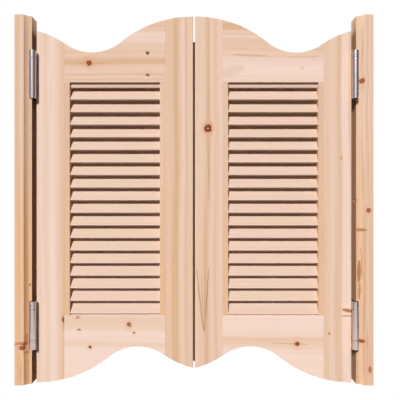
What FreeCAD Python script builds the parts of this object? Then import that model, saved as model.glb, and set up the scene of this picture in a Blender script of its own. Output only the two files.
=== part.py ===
"""Pair of louvred cafe doors on double-action spring hinges, with their two jamb strips.

+X is to the right, +Y goes through the opening and +Z is up. The origin is the middle of the
closed pair: midway between the jambs, in the middle plane of the leaves, at the jambs' mid height.
Millimetres. Every node is one file in parts/.
"""
import FreeCAD
import Part
import math
import os

V = FreeCAD.Vector

# Jamb strips
jamb_height = 930.0
jamb_width = 40.0
jamb_depth = 50.0
cove_width = 17.0
cove_depth = 10.0
fixing_hole_radius = 2.75
fixing_head_radius = 5.5

# Leaves
leaf_width = 396.0
leaf_height = 926.0
leaf_thickness = 30.0
leaf_rise = 1.5
meeting_gap = 5.0
hinge_gap = 11.5

# Scalloped ends of a leaf: the top end, which the bottom end repeats turned by half a turn
scallop_offset = 256.0
scallop_depth = 91.0
scallop_radius = 115.0
shoulder_drop = 36.5
shoulder_angle = 35.0

# Frame of a leaf
stile_width = 70.0
strip_width = 14.0
opening_height = 590.0
opening_rise = 1.5
tenon_length = 32.0
tenon_height = 60.0
tenon_thickness = 10.0
tenon_setback = 18.0
joint_clearance = 0.1
tenon_end_clearance = 0.8

# Louvres
slat_count = 18
slat_top_margin = 26.8
slat_bottom_margin = 20.6
slat_width = 41.0
slat_thickness = 6.0
slat_angle = 34.0
slat_lip_chamfer = 1.5
slat_housing = 6.0
slat_clearance = 0.15
slat_end_clearance = 0.3
closing_slat_clearance = 0.3
filler_height = 12.0
filler_setback = 6.5

# Hinges
hinge_row = 314.0
hinge_height = 120.0
barrel_offset = 25.0
barrel_radius = 8.75
sheet_thickness = 2.0
plate_reach = 12.0
plate_edge_setback = 0.5
bend_allowance = 0.5
upper_knuckle_height = 18.4
lower_knuckle_height = 23.0
segment_gap = 0.4
running_clearance = 0.05
plug_engagement = 9.0
rod_radius = 2.5
rod_clearance = 0.1
rod_end_clearance = 0.5
spring_wire = 1.9
spring_clearance = 0.4
tension_hole_radius = 1.8
left_upper_hole_turn = 180.0
left_lower_hole_turn = -109.0
right_upper_hole_turn = 0.0
right_lower_hole_turn = -52.0
tension_pin_clearance = 0.1
tension_pin_length = 6.0
tension_pin_recess = 0.8
inner_sides = 8

# Hinge screws
screw_pitch = 46.0
screw_radius = 2.0
screw_head_radius = 3.7
screw_length = 25.0
screw_clearance = 0.1
pilot_extra_depth = 1.0
screw_sides = 6

# Places that follow from the sizes above
half_depth = jamb_depth / 2
half_thickness = leaf_thickness / 2
hinge_edge = meeting_gap / 2 + leaf_width
hinge_axis = hinge_edge + hinge_gap / 2
jamb_inner = hinge_edge + hinge_gap
jamb_outer = jamb_inner + jamb_width
opening_centre = leaf_rise + opening_rise
opening_top = opening_centre + opening_height / 2
opening_bottom = opening_centre - opening_height / 2
rail_start = meeting_gap / 2 + stile_width
rail_end = hinge_edge - stile_width
louvre_start = rail_start + strip_width
louvre_end = rail_end - strip_width
slat_pitch = (opening_height - slat_top_margin - slat_bottom_margin) / (slat_count - 1)
fixing_spacing = hinge_row - screw_pitch / 2
barrel_bore = barrel_radius - sheet_thickness
bore_flats = barrel_bore * math.cos(math.pi / inner_sides)
plug_radius = bore_flats - running_clearance

# Heights along a hinge, from its own middle
hinge_top = hinge_height / 2
hinge_bottom = -hinge_top
upper_knuckle_bottom = hinge_top - upper_knuckle_height
tension_hole_height = (upper_knuckle_bottom + hinge_top) / 2
sleeve_top = upper_knuckle_bottom - segment_gap
lower_knuckle_top = hinge_bottom + lower_knuckle_height
sleeve_bottom = lower_knuckle_top + segment_gap
lower_plug_top = sleeve_bottom + plug_engagement
upper_plug_bottom = sleeve_top - plug_engagement
rod_top = upper_knuckle_bottom
screw_heights = (-screw_pitch, 0.0, screw_pitch)


def box(x0, x1, y0, y1, z0, z1):
    return Part.makeBox(x1 - x0, y1 - y0, z1 - z0, V(x0, y0, z0))


def prism(points, along):
    """Closed polygon of points, pushed along a vector."""
    return Part.Face(Part.makePolygon(points + points[:1])).extrude(along)


def turned(profile):
    """Solid turned about Z from a closed polygon of (radius, height) pairs."""
    points = [V(radius, 0, height) for radius, height in profile]
    face = Part.Face(Part.makePolygon(points + points[:1]))
    return face.revolve(V(0, 0, 0), V(0, 0, 1), 360)


def few_sided(profile, sides):
    """Like turned, but with flat sides; the profile's radii are those of its corners."""
    faces = []
    closed = profile + profile[:1]
    for side in range(sides):
        start = 2 * math.pi * side / sides
        end = 2 * math.pi * (side + 1) / sides
        for first, second in zip(closed, closed[1:]):
            corners = [at_turn(first, start), at_turn(second, start),
                       at_turn(second, end), at_turn(first, end)]
            distinct = [corner for number, corner in enumerate(corners)
                        if corner != corners[number - 1]]
            if len(distinct) > 2:
                faces.append(Part.Face(Part.makePolygon(distinct + distinct[:1])))
    solid = Part.Solid(Part.Shell(faces).removeSplitter())
    if solid.Volume < 0:
        solid.reverse()
    return solid


def at_turn(place, turn):
    """Point at a (radius, height) place and an angle about Z."""
    radius, height = place
    return V(radius * math.cos(turn), radius * math.sin(turn), height)


def half_turn(shape):
    """The same shape turned by half a turn about Z."""
    turned_shape = shape.copy()
    turned_shape.rotate(V(0, 0, 0), V(0, 0, 1), 180)
    return turned_shape


def mirrored(shape):
    """The same piece for the left leaf."""
    return shape.mirror(V(0, 0, 0), V(1, 0, 0))


# ---- Jamb strips ----

def cove_arc(side):
    """Cove on the front (side -1) or back (side 1) of the right jamb, from inner face to flat."""
    radius = (cove_width ** 2 + cove_depth ** 2) / (2 * cove_depth)
    half_sweep = math.asin(cove_width / radius) / 2
    centre_y = half_depth - cove_depth + radius
    start = V(jamb_inner, side * (half_depth - cove_depth), 0)
    middle = V(jamb_inner + radius * math.sin(half_sweep),
               side * (centre_y - radius * math.cos(half_sweep)), 0)
    end = V(jamb_inner + cove_width, side * half_depth, 0)
    return Part.Arc(start, middle, end).toShape(), start, end


def jamb_blank():
    """Right jamb: a square-backed strip with a cove along both inner corners."""
    front, front_inner, front_flat = cove_arc(-1)
    back, back_inner, back_flat = cove_arc(1)
    outer_front = V(jamb_outer, -half_depth, 0)
    outer_back = V(jamb_outer, half_depth, 0)
    edges = [
        front,
        Part.makeLine(front_flat, outer_front),
        Part.makeLine(outer_front, outer_back),
        Part.makeLine(outer_back, back_flat),
        back,
        Part.makeLine(back_inner, front_inner),
    ]
    profile = Part.Face(Part.Wire(Part.__sortEdges__(edges)))
    profile.translate(V(0, 0, -jamb_height / 2))
    return profile.extrude(V(0, 0, jamb_height))


def fixing_holes():
    """Countersunk holes through the right jamb: one at mid height and one behind each hinge."""
    length = jamb_width + 2
    hole = turned([
        (0, -1),
        (fixing_head_radius + 1, -1),
        (fixing_hole_radius, fixing_head_radius - fixing_hole_radius),
        (fixing_hole_radius, length),
        (0, length),
    ])
    hole.rotate(V(0, 0, 0), V(0, 1, 0), 90)
    holes = []
    for height in (-fixing_spacing, 0.0, fixing_spacing):
        placed = hole.copy()
        placed.translate(V(jamb_inner, 0, height))
        holes.append(placed)
    return Part.Compound(holes)


# ---- Scalloped blank of a leaf ----

def arc_about(centre, radius, first, last):
    """Arc in the XZ plane between two angles in degrees, measured from +X towards +Z."""
    points = []
    for angle in (first, (first + last) / 2, last):
        turn = math.radians(angle)
        points.append(V(centre.x + radius * math.cos(turn), 0, centre.z + radius * math.sin(turn)))
    return Part.Arc(*points).toShape()


def scalloped_end():
    """Top end from the meeting edge to the hinge edge: crown, scallop and shoulder, all tangent.

    Measured from the leaf's meeting edge and its mid height.
    """
    crown_turn = 2 * math.atan(scallop_depth / scallop_offset)
    crown_radius = scallop_offset / math.sin(crown_turn) - scallop_radius
    crown_centre = V(0, 0, leaf_height / 2 - crown_radius)
    scallop_bottom = leaf_height / 2 - scallop_depth
    scallop_centre = V(scallop_offset, 0, scallop_bottom + scallop_radius)
    turn = math.radians(shoulder_angle)
    join = scallop_centre + V(math.sin(turn), 0, -math.cos(turn)) * scallop_radius
    run = leaf_width - join.x
    rise = leaf_height / 2 - shoulder_drop - join.z
    end_turn = 2 * math.atan(rise / run) - turn
    shoulder_radius = run / (math.sin(turn) - math.sin(end_turn))
    shoulder_centre = join + V(math.sin(turn), 0, -math.cos(turn)) * shoulder_radius
    crown_angle = math.degrees(crown_turn)
    end_angle = math.degrees(end_turn)
    crown = arc_about(crown_centre, crown_radius, 90, 90 - crown_angle)
    scallop = arc_about(scallop_centre, scallop_radius, -90 - crown_angle, -90 + shoulder_angle)
    shoulder = arc_about(shoulder_centre, shoulder_radius, 90 + shoulder_angle, 90 + end_angle)
    return [crown, scallop, shoulder]


def leaf_blank():
    """The right leaf as one board with both scalloped ends, to cut its members from."""
    top = scalloped_end()
    bottom = []
    for edge in scalloped_end():
        edge.rotate(V(leaf_width / 2, 0, 0), V(0, 1, 0), 180)
        bottom.append(edge)
    meeting_top = top[0].Vertexes[0].Point
    hinge_top_corner = top[2].Vertexes[-1].Point
    hinge_bottom_corner = bottom[0].Vertexes[0].Point
    meeting_bottom = bottom[2].Vertexes[-1].Point
    edges = top + bottom + [
        Part.makeLine(hinge_top_corner, hinge_bottom_corner),
        Part.makeLine(meeting_bottom, meeting_top),
    ]
    outline = Part.Face(Part.Wire(Part.__sortEdges__(edges)))
    outline.translate(V(meeting_gap / 2, -half_thickness, leaf_rise))
    return outline.extrude(V(0, leaf_thickness, 0))


# ---- Frame of a leaf ----

def tenons(low, clearance, end_clearance):
    """Both tenons of a rail, or their mortises when the clearances are given."""
    reach = tenon_length + end_clearance
    half = tenon_thickness / 2 + clearance
    bottom = low - clearance
    top = low + tenon_height + clearance
    meeting_side = box(rail_start - reach, rail_start, -half, half, bottom, top)
    hinge_side = box(rail_end, rail_end + reach, -half, half, bottom, top)
    return meeting_side, hinge_side


def leaf_members():
    """Stiles and rails of the right leaf."""
    blank = leaf_blank()
    top_tenon = opening_top + tenon_setback
    bottom_tenon = opening_bottom - tenon_setback - tenon_height
    high = leaf_height
    meeting_stile = blank.common(box(meeting_gap / 2, rail_start, -high, high, -high, high))
    hinge_stile = blank.common(box(rail_end, hinge_edge, -high, high, -high, high))
    top_rail = blank.common(box(rail_start, rail_end, -high, high, opening_top, high))
    bottom_rail = blank.common(box(rail_start, rail_end, -high, high, -high, opening_bottom))
    for low in (top_tenon, bottom_tenon):
        meeting_mortise, hinge_mortise = tenons(low, joint_clearance, tenon_end_clearance)
        meeting_stile = meeting_stile.cut(meeting_mortise)
        hinge_stile = hinge_stile.cut(hinge_mortise)
    top_rail = top_rail.fuse(list(tenons(top_tenon, 0, 0))).removeSplitter()
    bottom_rail = bottom_rail.fuse(list(tenons(bottom_tenon, 0, 0))).removeSplitter()
    return {
        "meeting_stile": meeting_stile,
        "hinge_stile": hinge_stile,
        "top_rail": top_rail,
        "bottom_rail": bottom_rail,
    }


# ---- Louvres ----

def slat_section(x, height, width, clearance):
    """Slat section at x with its lower lip eased in front, tipped so that the lip comes forward.

    The section hangs from the slat's upper edge, so a wider slat reaches further down.
    """
    back = slat_width / 2 + clearance
    front = slat_width / 2 - width - clearance
    half = slat_thickness / 2 + clearance
    corners = [(-half, back), (half, back), (half, front), (slat_lip_chamfer - half, front),
               (-half, front + slat_lip_chamfer)]
    tip = math.radians(slat_angle)
    points = []
    for across, along in corners:
        y = across * math.cos(tip) + along * math.sin(tip)
        z = height - across * math.sin(tip) + along * math.cos(tip)
        points.append(V(x, y, z))
    return points


def slat_heights():
    """Mid heights of the slats, from the top one down."""
    return [opening_top - slat_top_margin - row * slat_pitch for row in range(slat_count)]


def closing_width():
    """Width at which the bottom slat's lip comes down to the bottom rail."""
    tip = math.radians(slat_angle)
    lip_drop = slat_thickness / 2 * math.sin(tip) + slat_width / 2 * math.cos(tip)
    lip_height = slat_heights()[-1] - lip_drop
    return slat_width + (lip_height - opening_bottom - closing_slat_clearance) / math.cos(tip)


def slat(height, width):
    start = louvre_start - slat_housing
    end = louvre_end + slat_housing
    return prism(slat_section(start, height, width, 0), V(end - start, 0, 0))


def filler_box(x0, x1, clearance):
    """Narrow batten that closes the slot between the top slat and the rail."""
    front = -half_thickness + filler_setback
    return box(x0, x1, front - clearance, front + slat_thickness + clearance,
               opening_top - filler_height - clearance, opening_top)


def louvre_strip(x0, x1, housing_x0, widths):
    """Strip beside the louvres with a slanted housing for the end of every slat and the filler."""
    strip = box(x0, x1, -half_thickness, half_thickness, opening_bottom, opening_top)
    depth = slat_housing + slat_end_clearance
    housings = [filler_box(housing_x0, housing_x0 + depth, slat_clearance)]
    for height, width in zip(slat_heights(), widths):
        section = slat_section(housing_x0, height, width, slat_clearance)
        housings.append(prism(section, V(depth, 0, 0)))
    return strip.cut(Part.Compound(housings))


def louvres(widths):
    """Strips, slats and filler of the right leaf, for slats of the given widths."""
    depth = slat_housing + slat_end_clearance
    slats = [slat(height, width) for height, width in zip(slat_heights(), widths)]
    return {
        "meeting_louvre_strip": louvre_strip(rail_start, louvre_start, louvre_start - depth, widths),
        "hinge_louvre_strip": louvre_strip(louvre_end, rail_end, louvre_end, widths),
        "louvre_slats": Part.Compound(slats[:-1]),
        "bottom_slat": slats[-1],
        "top_filler": filler_box(louvre_start - slat_housing, louvre_end + slat_housing, 0),
    }


# ---- Hinges ----
# A hinge is drawn with its jamb on the -X side and its jamb barrel in front. It is the same after
# half a turn about its middle, which swaps the jamb plate and the door plate.

def ring(centre_y, low, high):
    """One segment of a rolled barrel."""
    outer = Part.makeCylinder(barrel_radius, high - low, V(0, centre_y, low))
    bore = few_sided([(0, low), (barrel_bore, low), (barrel_bore, high), (0, high)], inner_sides)
    bore.translate(V(0, centre_y, 0))
    return outer.cut(bore)


def knuckle_web(low, high):
    """Bent sheet from the door plate's flat to where it meets its barrel in a tangent."""
    outer_x = hinge_gap / 2
    inner_x = outer_x - sheet_thickness
    bend_y = half_thickness + bend_allowance
    middle_radius = barrel_radius - sheet_thickness / 2
    to_centre = V(-(outer_x + inner_x) / 2, barrel_offset - bend_y, 0)
    lean = math.asin(middle_radius / to_centre.Length)
    heading = math.atan2(to_centre.y, to_centre.x) - lean
    along = V(math.cos(heading), math.sin(heading), 0)
    outward = V(math.sin(heading), -math.cos(heading), 0)
    centre = V(0, barrel_offset, 0)
    outer_end = centre + outward * barrel_radius
    inner_end = centre + outward * barrel_bore
    outer_bend = outer_end - along * ((outer_end.x - outer_x) / along.x)
    inner_bend = inner_end - along * ((inner_end.x - inner_x) / along.x)
    start_y = half_thickness - plate_edge_setback
    corners = [V(outer_x, start_y, 0), outer_bend, outer_end, inner_end, inner_bend,
               V(inner_x, start_y, 0)]
    return prism([corner + V(0, 0, low) for corner in corners], V(0, 0, high - low))


def screw_profile(clearance):
    """Countersunk screw along Z with its flat head at 0, or its hole with a clearance."""
    head = screw_head_radius + clearance
    shank = screw_radius + clearance
    return few_sided([(0, 0), (head, 0), (shank, shank - head), (shank, -screw_length),
                      (0, -screw_length - screw_radius)], screw_sides)


def door_screw_places(shape):
    """Copies of a shape drawn along Z, laid through the door plate towards the leaf."""
    placed = []
    for height in screw_heights:
        copy = shape.copy()
        copy.rotate(V(0, 0, 0), V(0, 1, 0), -90)
        copy.translate(V(hinge_gap / 2 - sheet_thickness, 0, height))
        placed.append(copy)
    return Part.Compound(placed)


def pilot_holes():
    """Holes in the wood behind the door plate, for the screws' shanks."""
    hole_radius = screw_radius + screw_clearance
    depth = screw_length + screw_radius + pilot_extra_depth
    hole = few_sided([(0, -depth), (hole_radius, -depth), (hole_radius, 0), (0, 0)], screw_sides)
    return door_screw_places(hole)


def door_plate(hole_turn):
    """Flat on the edge of the leaf, with its knuckles rolled round the back barrel."""
    outer_x = hinge_gap / 2
    inner_x = outer_x - sheet_thickness
    flat = box(inner_x, outer_x, -plate_reach, half_thickness - plate_edge_setback,
               hinge_bottom, hinge_top)
    pieces = []
    for low, high in ((hinge_bottom, lower_knuckle_top), (upper_knuckle_bottom, hinge_top)):
        pieces.append(ring(barrel_offset, low, high))
        pieces.append(knuckle_web(low, high))
    plate = flat.fuse(pieces).removeSplitter()
    hole = at_barrel(radial_pin(tension_hole_radius, barrel_radius + 1, hole_turn), 1)
    return plate.cut(door_screw_places(screw_profile(screw_clearance))).cut(hole)


def centre_plate():
    """Sheet that joins the two sleeves in which the springs work."""
    half_sheet = sheet_thickness / 2
    reach = barrel_offset - barrel_radius + half_sheet
    web = box(-half_sheet, half_sheet, -reach, reach, sleeve_bottom, sleeve_top)
    sleeves = [ring(-barrel_offset, sleeve_bottom, sleeve_top),
               ring(barrel_offset, sleeve_bottom, sleeve_top)]
    return web.fuse(sleeves).removeSplitter()


def spindle():
    """Bearing plug in the lower knuckle, and the rod that runs up from it through the spring."""
    return few_sided([
        (0, hinge_bottom), (plug_radius, hinge_bottom), (plug_radius, lower_plug_top),
        (rod_radius, lower_plug_top), (rod_radius, rod_top), (0, rod_top),
    ], inner_sides)


def tension_plug(hole_turn):
    """Upper bearing plug that the spring is wound up by: it guides the rod and has a pin hole."""
    bore = rod_radius + rod_clearance
    bore_top = rod_top + rod_end_clearance
    plug = few_sided([
        (bore, upper_plug_bottom), (plug_radius, upper_plug_bottom), (plug_radius, hinge_top),
        (0, hinge_top), (0, bore_top), (bore, bore_top),
    ], inner_sides)
    return plug.cut(radial_pin(tension_hole_radius, barrel_radius, hole_turn))


def radial_pin(radius, tip, turn):
    """Pin in the tension hole's line, from its inner end to a tip at a distance from the axis.

    The turn is that of the front barrel's hole, from +X. Winding the spring sets it.
    """
    root = barrel_radius - tension_pin_recess - tension_pin_length
    pin = few_sided([(0, root), (radius, root), (radius, tip), (0, tip)], screw_sides)
    pin.rotate(V(0, 0, 0), V(0, 1, 0), 90)
    pin.rotate(V(0, 0, 0), V(0, 0, 1), turn)
    pin.translate(V(0, 0, tension_hole_height))
    return pin


def spring():
    """Close-wound torsion spring, as the outer shape of its coil."""
    outer = bore_flats - spring_clearance
    inner = outer - spring_wire
    low = lower_plug_top + spring_clearance
    high = upper_plug_bottom - spring_clearance
    return few_sided([(inner, low), (outer, low), (outer, high), (inner, high)], inner_sides)


def at_barrel(shape, side):
    """A shape drawn about Z, moved to the front (-1) or back (1) barrel of the hinge."""
    placed = shape.copy()
    if side > 0:
        placed.rotate(V(0, 0, 0), V(0, 0, 1), 180)
    placed.translate(V(0, side * barrel_offset, 0))
    return placed


def hinge_pieces(hole_turn):
    """All pieces of one hinge, by the end of their node's name."""
    plate = door_plate(hole_turn)
    plug = tension_plug(hole_turn)
    screws = door_screw_places(screw_profile(0))
    pin = radial_pin(tension_hole_radius - tension_pin_clearance,
                     barrel_radius - tension_pin_recess, hole_turn)
    return {
        "jamb_plates": half_turn(plate),
        "door_plates": plate,
        "centre_plates": centre_plate(),
        "jamb_spindles": at_barrel(spindle(), -1),
        "door_spindles": at_barrel(spindle(), 1),
        "jamb_tension_plugs": at_barrel(plug, -1),
        "door_tension_plugs": at_barrel(plug, 1),
        "jamb_tension_pins": at_barrel(pin, -1),
        "door_tension_pins": at_barrel(pin, 1),
        "springs": Part.Compound([at_barrel(spring(), -1), at_barrel(spring(), 1)]),
        "jamb_screws": half_turn(screws),
        "door_screws": screws,
    }


def hung(lower, upper, side):
    """A piece of the lower and one of the upper hinge, at the left (-1) or right (1) side."""
    placed = []
    for shape, height in ((lower, -hinge_row), (upper, hinge_row)):
        copy = half_turn(shape) if side > 0 else shape.copy()
        copy.translate(V(side * hinge_axis, 0, height))
        placed.append(copy)
    return Part.Compound(placed)


def all_nodes():
    nodes = {}
    hinges = {
        "left": (hinge_pieces(left_lower_hole_turn), hinge_pieces(left_upper_hole_turn)),
        "right": (hinge_pieces(right_lower_hole_turn), hinge_pieces(right_upper_hole_turn)),
    }
    pilots = pilot_holes()
    blank_jamb = jamb_blank().cut(fixing_holes())
    members = leaf_members()
    plain_widths = [slat_width] * slat_count
    closed_widths = [slat_width] * (slat_count - 1) + [closing_width()]
    for name, side, widths in (("left", -1, plain_widths), ("right", 1, closed_widths)):
        flip = mirrored if side < 0 else Part.Shape.copy
        lower, upper = hinges[name]
        door_pilots = hung(pilots, pilots, side)
        jamb_pilots = hung(half_turn(pilots), half_turn(pilots), side)
        nodes[name + "_jamb"] = flip(blank_jamb).cut(jamb_pilots)
        for member, shape in members.items():
            placed = flip(shape)
            if member == "hinge_stile":
                placed = placed.cut(door_pilots)
            nodes[name + "_" + member] = placed
        for piece, shape in louvres(widths).items():
            nodes[name + "_" + piece] = flip(shape)
        for piece in lower:
            nodes[name + "_hinge_" + piece] = hung(lower[piece], upper[piece], side)
    return nodes


def flattened(shape):
    """A single solid, or one compound of solids."""
    solids = shape.Solids
    return solids[0] if len(solids) == 1 else Part.Compound(solids)


os.makedirs("parts", exist_ok=True)
for node, shape in all_nodes().items():
    flattened(shape).exportStep("parts/" + node + ".step")
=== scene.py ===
"""Finish of a pair of louvred cafe doors: eased pine boards, rounded louvres and steel hinges.

Everything is in metres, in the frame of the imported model: +X to the right, +Y through the
doorway, +Z up, with the origin in the middle of the closed pair.
"""
import math
from typing import NamedTuple

import bmesh
import bpy
from bpy.props import FloatProperty, FloatVectorProperty, IntProperty, PointerProperty
from mathutils import Matrix, Vector


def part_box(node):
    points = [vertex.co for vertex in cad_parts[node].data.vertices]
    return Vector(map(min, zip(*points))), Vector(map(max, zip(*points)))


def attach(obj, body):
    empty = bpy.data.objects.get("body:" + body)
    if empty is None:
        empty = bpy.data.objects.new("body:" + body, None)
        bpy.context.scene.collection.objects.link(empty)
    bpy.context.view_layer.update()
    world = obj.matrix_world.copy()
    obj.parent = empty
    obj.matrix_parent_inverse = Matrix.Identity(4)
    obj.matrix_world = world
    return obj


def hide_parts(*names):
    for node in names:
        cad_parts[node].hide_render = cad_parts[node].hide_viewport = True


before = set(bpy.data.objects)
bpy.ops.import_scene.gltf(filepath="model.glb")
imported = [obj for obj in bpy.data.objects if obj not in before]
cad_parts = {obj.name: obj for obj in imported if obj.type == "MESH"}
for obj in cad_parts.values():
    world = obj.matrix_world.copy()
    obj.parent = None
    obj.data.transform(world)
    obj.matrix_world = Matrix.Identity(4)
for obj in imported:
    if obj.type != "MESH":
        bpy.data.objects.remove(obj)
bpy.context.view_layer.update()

bl_info = {
    "name": "Cafe Doors",
    "version": (1, 0, 0),
    "blender": (4, 5, 0),
    "location": "3D View > Sidebar > Cafe Doors",
    "description": "Dresses a pair of louvred cafe doors in pine and steel",
    "category": "Object",
}

SIDES = (("left", -1), ("right", 1))
NEAR = 1e-5  # places closer than this are one place


# ---- Colours, sizes and lights that a user would change ----

def tint(red, green, blue):
    """Linear colour of a screen colour given in 0 to 255."""
    linear = []
    for value in (red, green, blue):
        level = value / 255
        linear.append(level / 12.92 if level <= 0.04045 else ((level + 0.055) / 1.055) ** 2.4)
    return tuple(linear)


def colour_setting(name, description, colour):
    return FloatVectorProperty(name=name, description=description, default=colour, size=3,
                               subtype="COLOR", min=0, max=1)


def length_setting(name, description, length):
    return FloatProperty(name=name, description=description, default=length, min=0,
                         subtype="DISTANCE", unit="LENGTH", precision=4)


def strength_setting(name, description, strength):
    return FloatProperty(name=name, description=description, default=strength, min=0)


def angle_setting(name, description, degrees):
    return FloatProperty(name=name, description=description, default=math.radians(degrees), min=0,
                         subtype="ANGLE", unit="ROTATION")


class CafeDoorColours(bpy.types.PropertyGroup):
    pale: colour_setting("Pale pine", "Lightest, slightly pink bands", tint(243, 215, 200))
    # The blush colour also serves as the painted highlight on the slats' lips
    blush_and_lip_highlight: colour_setting("Blush pine", "Light pinkish bands", tint(239, 209, 194))
    cream: colour_setting("Cream pine", "Plain wood", tint(235, 203, 181))
    straw: colour_setting("Straw pine", "Yellower wood", tint(230, 195, 170))
    tan: colour_setting("Tan pine", "Darker bands", tint(225, 188, 160))
    amber: colour_setting("Amber pine", "Resinous bands", tint(218, 177, 142))
    gold: colour_setting("Golden pine", "Warmer wood towards the foot", tint(230, 186, 150))
    foot_gold: colour_setting("Foot gold", "Golden wood low on the jambs", tint(237, 189, 146))
    umber: colour_setting("Umber pine", "Brown band low on a jamb", tint(212, 158, 110))
    honey: colour_setting("Honey pine", "Warm wood low on the jambs", tint(223, 180, 145))
    slat: colour_setting("Slat pine", "Wood of the louvres", tint(219, 190, 173))
    slat_straw: colour_setting("Yellow slat pine", "Yellower wood among the louvres",
                               tint(216, 190, 166))
    late_wood: colour_setting("Late wood", "Fine lines of the growth rings", tint(205, 164, 128))
    # The pitch colour also paints shade into a hole in the right jamb
    pitch: colour_setting("Pitch", "Resin streaks", tint(172, 116, 70))
    knot_heart: colour_setting("Knot heart", "Middle of a knot", tint(156, 86, 54))
    knot_rim: colour_setting("Knot rim", "Dark bark ring of a knot", tint(124, 58, 32))
    dead_knot: colour_setting("Dead knot", "Small grey-brown knots", tint(92, 64, 46))
    knot_halo: colour_setting("Knot halo", "Flushed wood round a knot", tint(230, 166, 130))
    # Painted shade: the two edge colours darken the narrow hinge-side edges of the jambs and
    # leaves, in the gaps between them
    edge_shade: colour_setting("Brown edge", "Richer wood of narrow edges", tint(200, 155, 120))
    deep_edge_shade: colour_setting("Dark edge", "Darkest of the narrow edges", tint(176, 130, 96))
    end_grain: colour_setting("End grain", "Sawn ends of the boards", tint(208, 172, 138))
    steel: colour_setting("Steel", "Satin plated hinge steel", tint(194, 185, 187))
    dark_steel: colour_setting("Dark steel", "Springs and rods inside the barrels",
                               tint(96, 92, 90))
    # Painted shade: pins and plugs made dark so that the tension holes in the barrels read as dark
    # recesses
    pin: colour_setting("Pins", "Tension pins and plugs deep in the barrels", tint(62, 54, 50))
    floor: colour_setting("Floor", "Pale studio floor", tint(246, 246, 244))
    # Painted shade: colour of the glowing card that stands for the shade seen through the gap of
    # the closed leaves
    gap_shade: colour_setting("Backdrop", "Card seen through the gap of the leaves",
                             tint(97, 67, 49))


class CafeDoorSizes(bpy.types.PropertyGroup):
    edge_ease: length_setting("Edge easing", "Rounding of the boards' long edges", 0.0016)
    jamb_ease: length_setting("Jamb easing", "Rounding of the jambs' edges", 0.0012)
    joint_ease: length_setting("Joint easing", "Rounding of the edges where boards meet", 0.0004)
    rim_ease: length_setting("Barrel rim", "Rounding of the hinge barrels' ends", 0.0007)
    slat_width: length_setting("Slat width", "Width of a louvre slat", 0.041)
    slat_thickness: length_setting("Slat thickness", "Thickness of a louvre slat", 0.006)
    slat_angle: angle_setting("Slat angle", "Lean of the slats from upright", 34)
    slat_lip_ease: length_setting("Slat lip", "Rounding of a slat's front lip", 0.0025)
    slat_back_ease: length_setting("Slat back edges", "Rounding of a slat's other edges", 0.0008)
    ease_steps: IntProperty(name="Easing steps", description="Faces across a rounded edge",
                            default=3, min=1, max=8)


class CafeDoorLights(bpy.types.PropertyGroup):
    key: strength_setting("Key", "Strength of the main light", 3.7)
    back: strength_setting("Back light", "Strength of the light behind the doors", 1.3)
    side: strength_setting("Side lights", "Strength of the level lights at the sides", 1.3)
    gleam: strength_setting("Gleam", "Strength of the room as mirrored in the steel", 1.1)
    sky: strength_setting("Room light", "Strength of the light from all around", 0.02)
    softness: angle_setting("Softness", "Width of the lights as seen from the doors", 9)


def colours():
    return bpy.context.scene.cafe_door_colours


def sizes():
    return bpy.context.scene.cafe_door_sizes


def lights():
    return bpy.context.scene.cafe_door_lights


# ---- Node wiring ----

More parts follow.
